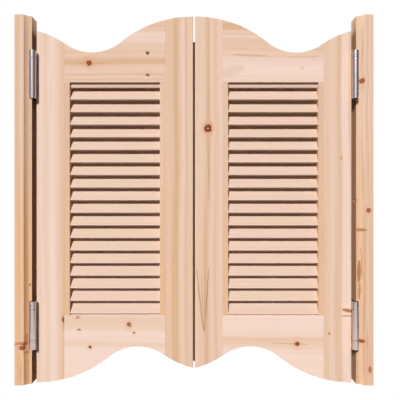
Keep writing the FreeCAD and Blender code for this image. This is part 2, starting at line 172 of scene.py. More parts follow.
class Wiring:
    """Short calls that add nodes to one material or world and join them."""

    def __init__(self, owner):
        owner.use_nodes = True
        self.owner = owner
        self.tree = owner.node_tree
        self.tree.nodes.clear()

    def put(self, socket, value):
        if isinstance(value, bpy.types.NodeSocket):
            self.tree.links.new(value, socket)
        else:
            socket.default_value = value

    def node(self, kind, inputs=None, **settings):
        new = self.tree.nodes.new(kind)
        for name, value in settings.items():
            setattr(new, name, value)
        for name, value in (inputs or {}).items():
            self.put(new.inputs[name], value)
        return new

    def finish(self, surface, kind="ShaderNodeOutputMaterial"):
        """Joins a surface to the output, and gives the finished material or world."""
        self.node(kind, {"Surface": surface.outputs[0]})
        return self.owner

    def maths(self, operation, *values):
        return self.node("ShaderNodeMath", dict(enumerate(values)), operation=operation).outputs[0]

    def times(self, first, second):
        return self.maths("MULTIPLY", first, second)

    def minus(self, first, second):
        return self.maths("SUBTRACT", first, second)

    def most(self, first, second):
        return self.maths("MAXIMUM", first, second)

    def apart(self, first, second):
        return self.maths("ABSOLUTE", self.minus(first, second))

    def hypot(self, x, y):
        return self.maths("SQRT", self.maths("ADD", self.times(x, x), self.times(y, y)))

    def remap(self, value, low, high, to_low=0.0, to_high=1.0, smooth=False):
        return self.node("ShaderNodeMapRange", {
            "Value": value, "From Min": low, "From Max": high, "To Min": to_low, "To Max": to_high,
        }, interpolation_type="SMOOTHSTEP" if smooth else "LINEAR").outputs["Result"]

    def mix(self, factor, first, second, blend="MIX"):
        new = self.node("ShaderNodeMix", {0: factor}, data_type="RGBA", blend_type=blend)
        # Of a mix node's many sockets, 6 and 7 take colours and 2 gives one
        for socket, value in zip(new.inputs[6:8], (first, second)):
            self.put(socket, value if isinstance(value, bpy.types.NodeSocket) else (*value, 1))
        return new.outputs[2]

    def shaded(self, colour, shade):
        """Colour times a grey amount."""
        return self.mix(1.0, colour, self.join(shade, shade, shade), "MULTIPLY")

    def join(self, x, y, z):
        return self.node("ShaderNodeCombineXYZ", {"X": x, "Y": y, "Z": z}).outputs[0]

    def split(self, vector):
        return self.node("ShaderNodeSeparateXYZ", {"Vector": vector}).outputs

    def attribute(self, name):
        return self.node("ShaderNodeAttribute", attribute_name=name).outputs["Fac"]

    def noise(self, vector, scale, detail=1.0):
        return self.node("ShaderNodeTexNoise", {
            "Vector": vector, "Scale": scale, "Detail": detail,
        }).outputs["Fac"]

    def stretched_noise(self, values, rates, detail=1.0):
        """Noise over three values, with how fast it changes along each."""
        return self.noise(self.join(*map(self.times, values, rates)), 1.0, detail)

    def bump(self, height, strength, distance):
        return self.node("ShaderNodeBump", {
            "Height": height, "Strength": strength, "Distance": distance,
        }).outputs["Normal"]

    def ramp(self, value, stops):
        """Colour at a value from 0 to 1, from (place, colour) stops in order."""
        new = self.node("ShaderNodeValToRGB", {"Fac": value})
        elements = new.color_ramp.elements
        for number, (place, colour) in enumerate(stops):
            stop = elements[number] if number < 2 else elements.new(place)
            stop.position = place
            stop.color = (*colour, 1)
        return new.outputs["Color"]

    def banded(self, position, bands):
        """Colour at a position, from (start, colour) bands in order, or one colour for all."""
        if isinstance(bands, str):
            return getattr(colours(), bands)
        start, end = bands[0][0], bands[-1][0]
        stops = [((place - start) / (end - start), getattr(colours(), colour))
                 for place, colour in bands]
        return self.ramp(self.remap(position, start, end), stops)


# ---- Marks in the pine ----

class Knot(NamedTuple):
    """Knot at a place across and along a board. Stretch is how much longer it is than wide.

    A ringed knot has a pale eye in a dark ring, and a dead knot is plain grey-brown.
    """
    across: float
    along: float
    radius: float
    stretch: float = 1.0
    strength: float = 1.0
    ringed: bool = False
    dead: bool = False


class Streak(NamedTuple):
    """Resin line on a board, or a patch of painted shade, between two (across, along) places."""
    start: tuple
    end: tuple
    width: float
    strength: float


# Colours from edge to edge of each board, each with its place across the board. The rails lie
# level, so across them is up.
BANDS = {
    "left_meeting_stile": (
        (-0.0725, "straw"), (-0.062, "straw"), (-0.052, "tan"), (-0.046, "amber"),
        (-0.042, "amber"), (-0.038, "tan"), (-0.033, "straw"), (-0.027, "blush_and_lip_highlight"),
        (-0.0225, "cream"), (-0.0195, "tan"), (-0.017, "tan"), (-0.013, "cream"),
        (-0.0025, "straw")),
    "left_hinge_stile": (
        (-0.3985, "cream"), (-0.39, "blush_and_lip_highlight"), (-0.38, "blush_and_lip_highlight"), (-0.374, "cream"),
        (-0.366, "blush_and_lip_highlight"), (-0.357, "pale"), (-0.35, "blush_and_lip_highlight"), (-0.343, "cream"),
        (-0.336, "straw"), (-0.3285, "straw")),
    "right_meeting_stile": (
        (0.0025, "cream"), (0.01, "cream"), (0.027, "cream"), (0.033, "tan"), (0.038, "amber"),
        (0.0425, "tan"), (0.0465, "cream"), (0.0525, "straw"), (0.058, "straw"),
        (0.064, "cream"), (0.0725, "cream")),
    "right_hinge_stile": (
        (0.3285, "straw"), (0.343, "straw"), (0.35, "cream"), (0.36, "cream"), (0.366, "tan"),
        (0.372, "tan"), (0.3765, "cream"), (0.3795, "pale"), (0.39, "pale"), (0.395, "straw"),
        (0.3985, "straw")),
    "left_top_rail": (
        (0.298, "cream"), (0.3035, "straw"), (0.3065, "tan"), (0.3105, "cream"),
        (0.3165, "tan"), (0.321, "straw"), (0.33, "cream"), (0.34, "straw"), (0.346, "amber"),
        (0.352, "amber"), (0.357, "tan"), (0.364, "straw"), (0.369, "cream"), (0.3735, "tan"),
        (0.378, "straw"), (0.383, "cream"), (0.389, "straw"), (0.395, "cream"), (0.4, "blush_and_lip_highlight"),
        (0.42, "blush_and_lip_highlight"), (0.425, "cream"), (0.43, "straw"), (0.436, "straw"), (0.44, "tan"),
        (0.446, "straw"), (0.47, "straw")),
    "left_bottom_rail": (
        (-0.47, "pale"), (-0.38, "pale"), (-0.365, "cream"), (-0.356, "pale"), (-0.335, "pale"),
        (-0.326, "cream"), (-0.298, "cream"), (-0.292, "pale")),
    "right_top_rail": (
        (0.298, "cream"), (0.304, "blush_and_lip_highlight"), (0.311, "blush_and_lip_highlight"), (0.32, "pale"), (0.34, "pale"),
        (0.351, "blush_and_lip_highlight"), (0.361, "blush_and_lip_highlight"), (0.3655, "straw"), (0.371, "cream"),
        (0.375, "cream"), (0.381, "straw"), (0.406, "straw"), (0.411, "cream"),
        (0.4155, "blush_and_lip_highlight"), (0.4205, "straw"), (0.4265, "cream"), (0.431, "tan"),
        (0.4345, "amber"), (0.4465, "amber"), (0.453, "straw"), (0.47, "straw")),
    "right_bottom_rail": (
        (-0.47, "pale"), (-0.378, "pale"), (-0.366, "cream"), (-0.35, "straw"),
        (-0.342, "blush_and_lip_highlight"), (-0.328, "pale"), (-0.292, "pale")),
    "left_meeting_louvre_strip": "straw",
    "left_hinge_louvre_strip": "tan",
    "right_meeting_louvre_strip": "straw",
    "right_hinge_louvre_strip": "tan",
    "left_jamb": (
        (-0.45, "tan"), (-0.437, "tan"), (-0.4345, "straw"), (-0.431, "cream"),
        (-0.428, "straw"), (-0.41, "tan")),
    "right_jamb": (
        (0.41, "cream"), (0.413, "cream"), (0.4155, "straw"), (0.419, "tan"), (0.423, "tan"),
        (0.427, "cream"), (0.4292, "cream"), (0.4317, "straw"), (0.434, "tan"), (0.4357, "tan"),
        (0.4382, "cream"), (0.446, "straw")),
}

# The same at the foot, for the boards whose colours change on the way down
FOOT_BANDS = {
    "left_meeting_stile": (
        (-0.0725, "gold"), (-0.066, "straw"), (-0.06, "straw"), (-0.0545, "gold"),
        (-0.049, "amber"), (-0.0415, "amber"), (-0.0375, "gold"), (-0.033, "cream"),
        (-0.026, "cream"), (-0.0215, "tan"), (-0.0185, "tan"), (-0.014, "straw"),
        (-0.0025, "straw")),
    "left_hinge_stile": (
        (-0.3985, "cream"), (-0.39, "cream"), (-0.384, "blush_and_lip_highlight"), (-0.372, "cream"),
        (-0.362, "pale"), (-0.352, "pale"), (-0.346, "cream"), (-0.339, "straw"),
        (-0.332, "gold"), (-0.3285, "gold")),
    "right_meeting_stile": (
        (0.0025, "cream"), (0.0068, "cream"), (0.0125, "straw"), (0.022, "straw"),
        (0.0275, "amber"), (0.032, "amber"), (0.036, "straw"), (0.0445, "cream"),
        (0.05, "straw"), (0.0525, "tan"), (0.0575, "straw"), (0.064, "cream"),
        (0.0725, "cream")),
    "right_hinge_stile": (
        (0.3285, "straw"), (0.338, "straw"), (0.346, "cream"), (0.351, "blush_and_lip_highlight"),
        (0.3585, "tan"), (0.364, "tan"), (0.371, "straw"), (0.376, "blush_and_lip_highlight"), (0.3815, "pale"),
        (0.389, "pale"), (0.3985, "cream")),
    "left_meeting_louvre_strip": "gold",
    "left_hinge_louvre_strip": "gold",
    "right_meeting_louvre_strip": "gold",
    "right_hinge_louvre_strip": "gold",
    "left_jamb": (
        (-0.45, "foot_gold"), (-0.442, "gold"), (-0.438, "honey"), (-0.4345, "foot_gold"),
        (-0.4275, "foot_gold"), (-0.4235, "umber"), (-0.4165, "umber"), (-0.412, "foot_gold"),
        (-0.4, "foot_gold")),
    "right_jamb": (
        (0.41, "gold"), (0.413, "amber"), (0.4155, "late_wood"), (0.418, "amber"),
        (0.423, "gold"), (0.4275, "honey"), (0.433, "straw"), (0.4355, "straw"),
        (0.438, "gold"), (0.45, "tan")),
}

# Along a board is up, or to the right on the rails
KNOTS = {
    "left_top_rail": (
        Knot(0.3465, -0.2655, 0.0068, 1.15), Knot(0.372, -0.1175, 0.0044, 1.1, 0.9, dead=True),
        Knot(0.3165, -0.1175, 0.004, 1.2, 0.8, dead=True)),
    "left_bottom_rail": (
        Knot(-0.315, -0.1645, 0.0059, 1.0, 0.8), Knot(-0.336, -0.152, 0.0028, 1.0, 0.7),
        Knot(-0.297, -0.294, 0.0039, 1.3, 0.4), Knot(-0.372, -0.263, 0.0039),
        Knot(-0.328, -0.291, 0.0028, 1.8, 0.7, dead=True)),
    "left_hinge_stile": (Knot(-0.331, -0.303, 0.0034, 2.0, 0.9),),
    "right_meeting_stile": (Knot(0.0354, 0.181, 0.0092, 1.05, ringed=True),),
    "right_bottom_rail": (Knot(-0.364, 0.261, 0.0059),),
    "right_hinge_stile": (
        Knot(0.342, -0.338, 0.002, 1.2), Knot(0.373, 0.107, 0.0018, 2.5, 0.4)),
    "left_jamb": (
        Knot(-0.415, -0.214, 0.0026, 1.4, 0.6),
        Knot(-0.4305, -0.3705, 0.0078, 0.8, 0.7, ringed=True),
        Knot(-0.4255, -0.3625, 0.0065, 0.6, 0.75), Knot(-0.421, -0.3835, 0.004, 0.7, 0.5)),
    "right_jamb": (
        Knot(0.4227, 0.3, 0.0062, 1.05, 0.85), Knot(0.4372, -0.026, 0.0062, 1.0, 0.85),
        Knot(0.4215, -0.355, 0.0075, 0.65, 0.9), Knot(0.4415, -0.425, 0.0042, 2.0, 0.65)),
}

STREAKS = {
    "right_meeting_stile": (
        Streak((0.036, 0.3), (0.035, 0.192), 0.0012, 0.4),
        Streak((0.035, 0.172), (0.0375, 0.0), 0.0018, 0.5),
        Streak((0.0068, -0.175), (0.0225, -0.325), 0.0034, 0.5),
        Streak((0.0218, -0.305), (0.0258, -0.334), 0.0036, 0.6),
        Streak((0.0372, -0.175), (0.0266, -0.33), 0.0032, 0.55),
        Streak((0.0185, -0.19), (0.0236, -0.31), 0.0026, 0.35),
        Streak((0.029, -0.19), (0.0246, -0.31), 0.0026, 0.3)),
    "right_top_rail": (
        Streak((0.32, 0.06), (0.332, 0.12), 0.024, 0.16),
        Streak((0.329, 0.107), (0.338, 0.112), 0.005, 0.22),
        Streak((0.336, 0.112), (0.34, 0.121), 0.0045, 0.22),
        Streak((0.33, 0.277), (0.339, 0.271), 0.0036, 0.35),
        Streak((0.3675, 0.1), (0.3645, 0.185), 0.004, 0.3),
        Streak((0.362, 0.24), (0.3625, 0.31), 0.0024, 0.25)),
    "left_top_rail": (Streak((0.3445, -0.3), (0.346, -0.23), 0.002, 0.35),),
    "right_bottom_rail": (Streak((-0.362, 0.2), (-0.3655, 0.29), 0.003, 0.35),),
    "right_hinge_stile": (
        Streak((0.378, -0.2775), (0.402, -0.2825), 0.0078, 1.0),
        Streak((0.374, -0.2935), (0.4, -0.2935), 0.0042, 0.6),
        Streak((0.3925, -0.45), (0.3905, -0.3), 0.0014, 0.3)),
    "left_hinge_stile": (
        Streak((-0.3305, -0.33), (-0.3292, -0.285), 0.0022, 0.6),
        Streak((-0.3615, 0.2), (-0.36, 0.37), 0.0016, 0.25)),
    "left_jamb": (
        Streak((-0.4475, -0.3615), (-0.414, -0.3575), 0.007, 0.85),
        Streak((-0.4245, -0.37), (-0.4205, -0.338), 0.006, 0.6),
        Streak((-0.4405, -0.3675), (-0.437, -0.376), 0.005, 0.5),
        Streak((-0.4355, -0.46), (-0.433, -0.4), 0.0016, 0.55),
        Streak((-0.4415, -0.46), (-0.4405, -0.38), 0.0012, 0.4)),
    "right_jamb": (
        Streak((0.407, -0.0752), (0.4315, -0.0752), 0.0066, 0.85),
        # Painted shade: dark patch on the inner face of the jamb, over the hole at mid height,
        # standing for the shade inside it
        Streak((0.409, 0.0), (0.4115, 0.0), 0.006, 0.8),
        Streak((0.4165, -0.205), (0.4175, -0.155), 0.0075, 0.9),
        Streak((0.4175, -0.25), (0.4185, -0.21), 0.0044, 0.75),
        Streak((0.4235, -0.2), (0.4215, -0.12), 0.002, 0.5),
        Streak((0.427, -0.33), (0.43, -0.02), 0.0012, 0.45),
        Streak((0.4235, 0.02), (0.4225, 0.29), 0.0014, 0.35),
        Streak((0.436, 0.2), (0.439, -0.01), 0.001, 0.35),
        Streak((0.4227, 0.31), (0.4235, 0.44), 0.0014, 0.4),
        Streak((0.4335, -0.46), (0.4355, -0.3), 0.0014, 0.5),
        Streak((0.4405, -0.44), (0.4385, -0.34), 0.0012, 0.4)),
}

# Heart line of each board's growth rings: its place across and its depth behind the face
HEARTS = {
    "left_meeting_stile": (-0.3, 0.08),
    "left_hinge_stile": (-0.62, 0.08),
    "right_meeting_stile": (-0.16, 0.08),
    "right_hinge_stile": (0.66, 0.08),
    "left_meeting_louvre_strip": (-0.6, 0.1),
    "left_hinge_louvre_strip": (-0.6, 0.1),
    "right_meeting_louvre_strip": (0.6, 0.1),
    "right_hinge_louvre_strip": (0.6, 0.1),
    "left_jamb": (-0.62, 0.06),
    "right_jamb": (0.62, 0.06),
}
RAIL_HEART = (0.16, 0.08)  # from the middle of a rail, down on the left and up on the right
SLAT_HEART = (0.1, 0.9)

# Layers of a knot, each painted over the last, with their colours
KNOT_LAYERS = (("halo", "knot_halo"), ("core", "knot_heart"), ("rim", "knot_rim"),
               ("eye", "knot_halo"), ("dead", "dead_knot"))
# Distances in a knot, in its radii. A layer fades in between the two of a pair.
KNOT_WOBBLE = 0.45
KNOT_WOBBLE_RATE = 0.9
KNOT_OUTLINE = (1.25, 0.65)
RIM_RADIUS = 0.62
RIM_FADE = (0.42, 0.1)
EYE_FADE = (0.38, 0.16)
PLAIN_RIM = 0.5  # strength of the rim of a knot that isn't ringed
HALO_STRENGTH = 0.75
GRAIN_PUSH = 0.8  # share of its distance from a knot by which the grain is pushed aside
PUSH_FADE = -0.2  # how fast that fades, with the square of the distance
HALO_FADE = 1.7  # how much faster the halo fades

STREAK_WAVER = 0.0014
STREAK_WAVER_RATE = 60.0
STREAK_CORE = 0.2  # share of a resin line's width within which it is as strong as it gets
END_THINNING = 0.9


def knot_masks(wiring, across, along, depth, knots):
    """Place across the grain with the grain bent round knots, and each knot layer's cover."""
    bent = across
    masks = {layer: 0.0 for layer, _ in KNOT_LAYERS}

    def cover(layer, amount):
        masks[layer] = wiring.most(masks[layer], amount)

    for knot in knots:
        aside = wiring.minus(across, knot.across)
        distance = wiring.hypot(
            wiring.maths("DIVIDE", aside, knot.radius),
            wiring.maths("DIVIDE", wiring.minus(along, knot.along), knot.radius * knot.stretch))
        wobble = wiring.noise(wiring.join(across, along, depth), KNOT_WOBBLE_RATE / knot.radius)
        distance = wiring.maths("ADD", distance,
                                wiring.remap(wobble, 0, 1, -KNOT_WOBBLE, KNOT_WOBBLE))
        fading = wiring.times(wiring.times(distance, distance), PUSH_FADE)
        push = wiring.times(wiring.times(aside, wiring.maths("EXPONENT", fading)), GRAIN_PUSH)
        bent = wiring.minus(bent, push)
        inside = wiring.remap(distance, *KNOT_OUTLINE, 0, knot.strength, smooth=True)
        if knot.dead:
            cover("dead", inside)
            continue
        rim_strength = knot.strength * (1.0 if knot.ringed else PLAIN_RIM)
        rim = wiring.remap(wiring.apart(distance, RIM_RADIUS), *RIM_FADE, 0, rim_strength,
                           smooth=True)
        flush = wiring.maths("EXPONENT", wiring.times(fading, HALO_FADE))
        cover("core", inside)
        cover("rim", rim)
        cover("halo", wiring.times(flush, HALO_STRENGTH * knot.strength))
        if knot.ringed:
            cover("rim", inside)
            cover("eye", wiring.remap(distance, *EYE_FADE, smooth=True))
    return bent, masks


def streak_mask(wiring, across, along, streaks):
    """How much of a resin line or a patch of painted shade covers each place. Lines waver, and
    thin out to their ends.
    """
    waver = wiring.remap(wiring.noise(wiring.join(across, along, 0.0), STREAK_WAVER_RATE), 0, 1,
                         -STREAK_WAVER, STREAK_WAVER)
    wavy = wiring.maths("ADD", across, waver)
    cover = 0.0
    for streak in streaks:
        run = (streak.end[0] - streak.start[0], streak.end[1] - streak.start[1])
        aside = wiring.minus(wavy, streak.start[0])
        beyond = wiring.minus(along, streak.start[1])
        dot = wiring.maths("MULTIPLY_ADD", aside, run[0], wiring.times(beyond, run[1]))
        part = wiring.remap(dot, 0, run[0] ** 2 + run[1] ** 2)
        off = wiring.hypot(wiring.maths("MULTIPLY_ADD", part, -run[0], aside),
                           wiring.maths("MULTIPLY_ADD", part, -run[1], beyond))
        from_middle = wiring.maths("MULTIPLY_ADD", part, 2.0, -1.0)
        thin = wiring.maths("MULTIPLY_ADD", wiring.times(from_middle, from_middle), END_THINNING,
                            1.0)
        mask = wiring.remap(wiring.times(off, thin), streak.width, streak.width * STREAK_CORE,
                            0, streak.strength, smooth=True)
        cover = wiring.most(cover, mask)
    return cover


# ---- Pine ----

FOOT_HEIGHTS = (0.24, -0.2)  # heights between which a board takes on its foot's colours
EDGE_SHADE_HEIGHTS = (0.435, 0.42)  # heights between which the painted shade on a narrow edge fades out towards the top, where light gets in
EDGE_SHADE_WIDTHS = (0.0006, 0.0002)  # distances from that edge between which the painted shade fades in
GRAIN_SWAY = 0.007  # how far the grain wanders to each side
GRAIN_SLANT = 0.4  # how far it moves across for each metre of depth
RING_DRIFT = 2.2  # rings by which their even spacing is put off
RING_DRIFT_RATE = 0.35  # how fast that changes from ring to ring
FAINT_RINGS = 0.3  # share of their strength that ring lines keep where they are faint
NEXT_SLAT_ALONG, NEXT_SLAT_DEEPER = 0.731, 0.0137  # how far the next slat was cut from this one
# How fast each pattern changes across the grain, back through the board and along it
SWAY_RATES = (6.0, 6.0, 2.4)
BROAD_RATES = (150.0, 0.0, 1.1)
FINE_RATES = (620.0, 0.0, 3.0)
FIBRE_RATES = (1500.0, 1500.0, 30.0)
CLOUD_RATES = (30.0, 1.0, 7.0)
TONE_RATES = (5.37, 3.0, 9.0)  # from slat to slat, along it and across it
# Darkest and lightest shade of the patterns
FINE_SHADES = (0.975, 1.02)
FIBRE_SHADES = (0.98, 1.02)
CLOUD_SHADES = (0.985, 1.015)
# Most of a colour that a pattern or a place brings
TAN_COVER = 0.32
PALE_COVER = 0.28
SLAT_STRAW_COVER = 0.6
# Share of the painted highlight on each slat's rounded lip
LIP_HIGHLIGHT_COVER = 0.8
END_GRAIN_COVER = 0.7
WOOD_ROUGHNESS = (0.5, 0.64)
WOOD_BUMP = (0.12, 0.0004)  # strength and height


def pine(name, face, heart, bands, foot=None, level=False, numbered=False, ring=0.0046,
         late=0.24, lean=0.004, knots=(), streaks=(), edge=None):
    """Clear-finished pine with its grain along Z, or along X on a level board.

    Bands of colour run along the board and slant back from its front face, whose depth is
    given, and change to those of the foot lower down. The growth rings are cylinders about a
    heart line, a ring apart, and late is the strength of their lines. The grain leans across
    by a share of the way along. A narrow edge, given by its place across and its colour,
    gets painted shade that stops short of the top. Numbered boards are slats, each with wood
    of its own and a painted highlight on its lip.
    """
    palette = colours()
    wiring = Wiring(bpy.data.materials.new(name))
    place = wiring.split(wiring.node("ShaderNodeTexCoord").outputs["Object"])
    across, along = (place["Z"], place["X"]) if level else (place["X"], place["Z"])
    depth = wiring.minus(place["Y"], face)
    if numbered:
        number = wiring.attribute("board")
        along = wiring.maths("MULTIPLY_ADD", number, NEXT_SLAT_ALONG, along)
        depth = wiring.maths("MULTIPLY_ADD", number, NEXT_SLAT_DEEPER, depth)

    bent, masks = knot_masks(wiring, across, along, depth, knots)
    sway = wiring.stretched_noise((across, depth, along), SWAY_RATES)
    grain = wiring.maths("ADD", bent, wiring.remap(sway, 0, 1, -GRAIN_SWAY, GRAIN_SWAY))
    grain = wiring.maths("MULTIPLY_ADD", along, lean, grain)
    grain = wiring.maths("MULTIPLY_ADD", depth, GRAIN_SLANT, grain)

    wood = wiring.banded(grain, bands)
    if foot:
        lower = wiring.remap(along, *FOOT_HEIGHTS, smooth=True)
        wood = wiring.mix(lower, wood, wiring.banded(grain, foot))
    broad = wiring.stretched_noise((grain, depth, along), BROAD_RATES, 2.0)
    fine = wiring.stretched_noise((grain, depth, along), FINE_RATES)
    fibre = wiring.stretched_noise((across, depth, along), FIBRE_RATES, 2.0)
    clouds = wiring.stretched_noise((grain, depth, along), CLOUD_RATES)
    wood = wiring.mix(wiring.remap(broad, 0.5, 0.75, 0, TAN_COVER), wood, palette.tan)
    wood = wiring.mix(wiring.remap(broad, 0.5, 0.28, 0, PALE_COVER), wood, palette.pale)

    radius = wiring.hypot(wiring.minus(grain, heart[0]), wiring.minus(depth, heart[1]))
    uneven = wiring.noise(wiring.join(radius, 0.0, 0.0), RING_DRIFT_RATE / ring)
    rings = wiring.maths("MULTIPLY_ADD", uneven, RING_DRIFT, wiring.maths("DIVIDE", radius, ring))
    in_ring = wiring.maths("FRACT", rings)
    line = wiring.times(wiring.remap(in_ring, 0.3, 0.88, smooth=True),
                        wiring.remap(in_ring, 1.0, 0.9))
    strength = wiring.remap(clouds, 0.3, 0.7, late * FAINT_RINGS, late)
    wood = wiring.mix(wiring.times(line, strength), wood, palette.late_wood)
    # Resin lines, and a patch of painted shade in a hole
    if streaks:
        wood = wiring.mix(streak_mask(wiring, across, along, streaks), wood, palette.pitch)

    shade = 1.0
    for pattern, shades in ((fine, FINE_SHADES), (fibre, FIBRE_SHADES), (clouds, CLOUD_SHADES)):
        shade = wiring.times(shade, wiring.remap(pattern, 0.25, 0.75, *shades))
    wood = wiring.shaded(wood, shade)
    if knots:
        for layer, colour in KNOT_LAYERS:
            wood = wiring.mix(masks[layer], wood, getattr(palette, colour))
    # Painted shade: darkens the narrow edge that faces into a gap, fading out near the top
    if edge:
        in_edge_shade = wiring.remap(wiring.apart(across, edge[0]), *EDGE_SHADE_WIDTHS)
        wood = wiring.mix(wiring.times(in_edge_shade, wiring.remap(along, *EDGE_SHADE_HEIGHTS)), wood,
                          getattr(palette, edge[1]))
    if numbered:
        tone = wiring.stretched_noise((number, along, across), TONE_RATES)
        wood = wiring.mix(wiring.remap(tone, 0.38, 0.62, 0, SLAT_STRAW_COVER), wood,
                          palette.slat_straw)
        # Painted highlight on the rounded lips of the slats
        wood = wiring.mix(wiring.times(wiring.attribute("lip"), LIP_HIGHLIGHT_COVER), wood, palette.blush_and_lip_highlight)
    elif not level:
        upward = wiring.split(wiring.node("ShaderNodeNewGeometry").outputs["True Normal"])["Z"]
        sawn = wiring.remap(wiring.maths("ABSOLUTE", upward), 0.55, 0.8, 0, END_GRAIN_COVER)
        wood = wiring.mix(sawn, wood, palette.end_grain)

    height = wiring.maths("ADD", wiring.times(fibre, 0.6), wiring.times(line, 0.4))
    return wiring.finish(wiring.node("ShaderNodeBsdfPrincipled", {
        "Base Color": wood, "Roughness": wiring.remap(fibre, 0.3, 0.7, *WOOD_ROUGHNESS),
        "Normal": wiring.bump(height, *WOOD_BUMP), "Specular IOR Level": 0.05,
    }))


def board_pine(node, face, heart, **settings):
    """Pine of one board, with its own bands, knots and streaks."""
    return pine(node + "_pine", face, heart, BANDS[node], FOOT_BANDS.get(node),
                knots=KNOTS.get(node, ()), streaks=STREAKS.get(node, ()), **settings)


# ---- Steel ----

STROKE_RATES = (900.0, 900.0, 14.0)
STROKE_DEPTH = 0.0001


def steel(name, colour, roughness, brushed=0.5):
    """Satin plated steel, brushed lightly up and down."""
    wiring = Wiring(bpy.data.materials.new(name))
    place = wiring.node("ShaderNodeTexCoord").outputs["Object"]
    strokes = wiring.stretched_noise(wiring.split(place), STROKE_RATES, 2.0)
    clouds = wiring.noise(place, 60.0, 2.0)
    return wiring.finish(wiring.node("ShaderNodeBsdfPrincipled", {
        "Base Color": wiring.shaded(colour, wiring.remap(clouds, 0.3, 0.7, 0.94, 1.03)),
        "Roughness": wiring.remap(strokes, 0.3, 0.7, roughness - 0.1 * brushed,
                                  roughness + 0.12 * brushed),
        "Normal": wiring.bump(strokes, 0.1 * brushed, STROKE_DEPTH), "Metallic": 1.0,
    }))


# ---- Objects and meshes ----

SMOOTH_BELOW = math.radians(32)  # faces that meet at less are shaded as one curve
EASE_ABOVE = math.radians(40)  # edges that turn by more are sharp enough to ease
MERGE_BELOW = math.radians(0.5)  # triangles that meet at less are one face


def add_object(name, data):
    new = bpy.data.objects.new(name, data)
    bpy.context.scene.collection.objects.link(new)
    return new


def add_mesh(name, bm, material):
    """Object from a bmesh, which is used up."""
    mesh = bpy.data.meshes.new(name)
    bm.to_mesh(mesh)
    bm.free()
    mesh.materials.append(material)
    return add_object(name, mesh)


def piece(name, bm, material, body, slot, *nodes):
    """Finished piece from a bmesh, that rides on a body and stands for CAD nodes."""
    new = add_mesh(name, bm, material)
    for polygon in new.data.polygons:
        polygon.use_smooth = True
    new.data.set_sharp_from_angle(angle=SMOOTH_BELOW)
    even = new.modifiers.new("even", "WEIGHTED_NORMAL")
    even.keep_sharp = True
    even.weight = 100
    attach(new, body)
    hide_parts(*nodes)


def merged_copy(node):
    """Bmesh of a CAD node with its loose triangles merged into whole faces."""
    bm = bmesh.new()
    bm.from_mesh(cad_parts[node].data)
    bmesh.ops.remove_doubles(bm, verts=bm.verts, dist=1e-6)
    bmesh.ops.dissolve_limit(bm, angle_limit=MERGE_BELOW, verts=bm.verts, edges=bm.edges,
                             use_dissolve_boundaries=False, delimit=set())
    return bm


def bevel(bm, edges, offset, steps):
    bmesh.ops.bevel(bm, geom=edges, offset=offset, offset_type="OFFSET", segments=steps,
                    profile=0.5, affect="EDGES", clamp_overlap=True, material=-1)


def ease(bm, offset, steps, keep=None):
    """Rounds the sharp edges of a bmesh, or those of them that pass a test."""
    sharp = []
    for edge in bm.edges:
        if len(edge.link_faces) == 2 and edge.calc_face_angle(0) > EASE_ABOVE:
            if keep is None or keep(edge):
                sharp.append(edge)
    bevel(bm, sharp, offset, steps)
    return bm


def lies_at(edge, axis, place):
    """Whether an edge lies in the plane at a place on an axis."""
    return all(abs(vert.co[axis] - place) < NEAR for vert in edge.verts)


def leaf_body(side):
    return side + "_leaf"


# ---- Boards ----

LEAF_BOARDS = ("meeting_stile", "hinge_stile", "top_rail", "bottom_rail",
               "meeting_louvre_strip", "hinge_louvre_strip")
ARRIS_DEPTHS = (0.012, 0.02)  # depths between which the inner cove of a jamb ends at the back
ARRIS_BACK = 0.0025  # how far that end moves back, so that no light shows past it
JOINT_STEPS = 2


def leaf_half_thickness():
    low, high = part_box("left_meeting_stile")
    return (high.y - low.y) / 2


def leaf_board(side, member, material):
    """Stile, rail or louvre strip with its long edges eased, as the CAD board has them square."""
    node = side + "_" + member
    half = leaf_half_thickness()
    axis = 0 if "stile" in member else 2
    boxes = [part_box(side + "_meeting_stile"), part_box(side + "_hinge_stile")]
    outside = (min(low[axis] for low, _ in boxes), max(high[axis] for _, high in boxes))

    def on_face(edge):
        return all(abs(abs(vert.co.y) - half) < NEAR for vert in edge.verts)

    def is_outer(edge):
        return on_face(edge) and any(lies_at(edge, axis, place) for place in outside)

    bm = merged_copy(node)
    if "strip" not in member:
        ease(bm, sizes().edge_ease, sizes().ease_steps, is_outer)
    ease(bm, sizes().joint_ease, JOINT_STEPS, on_face)
    piece(node + "_board", bm, material, leaf_body(side), "frame_pine", node)


class CAFEDOORS_OT_boards(bpy.types.Operator):
    """Stiles, rails and louvre strips of both leaves"""
    bl_idname = "cafe_doors.boards"
    bl_label = "Leaf boards"

    def execute(self, context):
        face = -leaf_half_thickness()
        for side, sign in SIDES:
            for member in LEAF_BOARDS:
                node = side + "_" + member
                low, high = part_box(node)
                if "rail" in member:
                    heart = ((low.z + high.z) / 2 + RAIL_HEART[0] * sign, RAIL_HEART[1])
                    material = board_pine(node, face, heart, level=True, late=0.1)
                else:
                    edge = None
                    # Painted shade on the hinge edge of the stile, deeper on the left leaf, away
                    # from the key light
                    if member == "hinge_stile":
                        edge = (low.x, "deep_edge_shade") if sign < 0 else (high.x, "edge_shade")
                    material = board_pine(node, face, HEARTS[node], edge=edge)
                leaf_board(side, member, material)
        return {"FINISHED"}


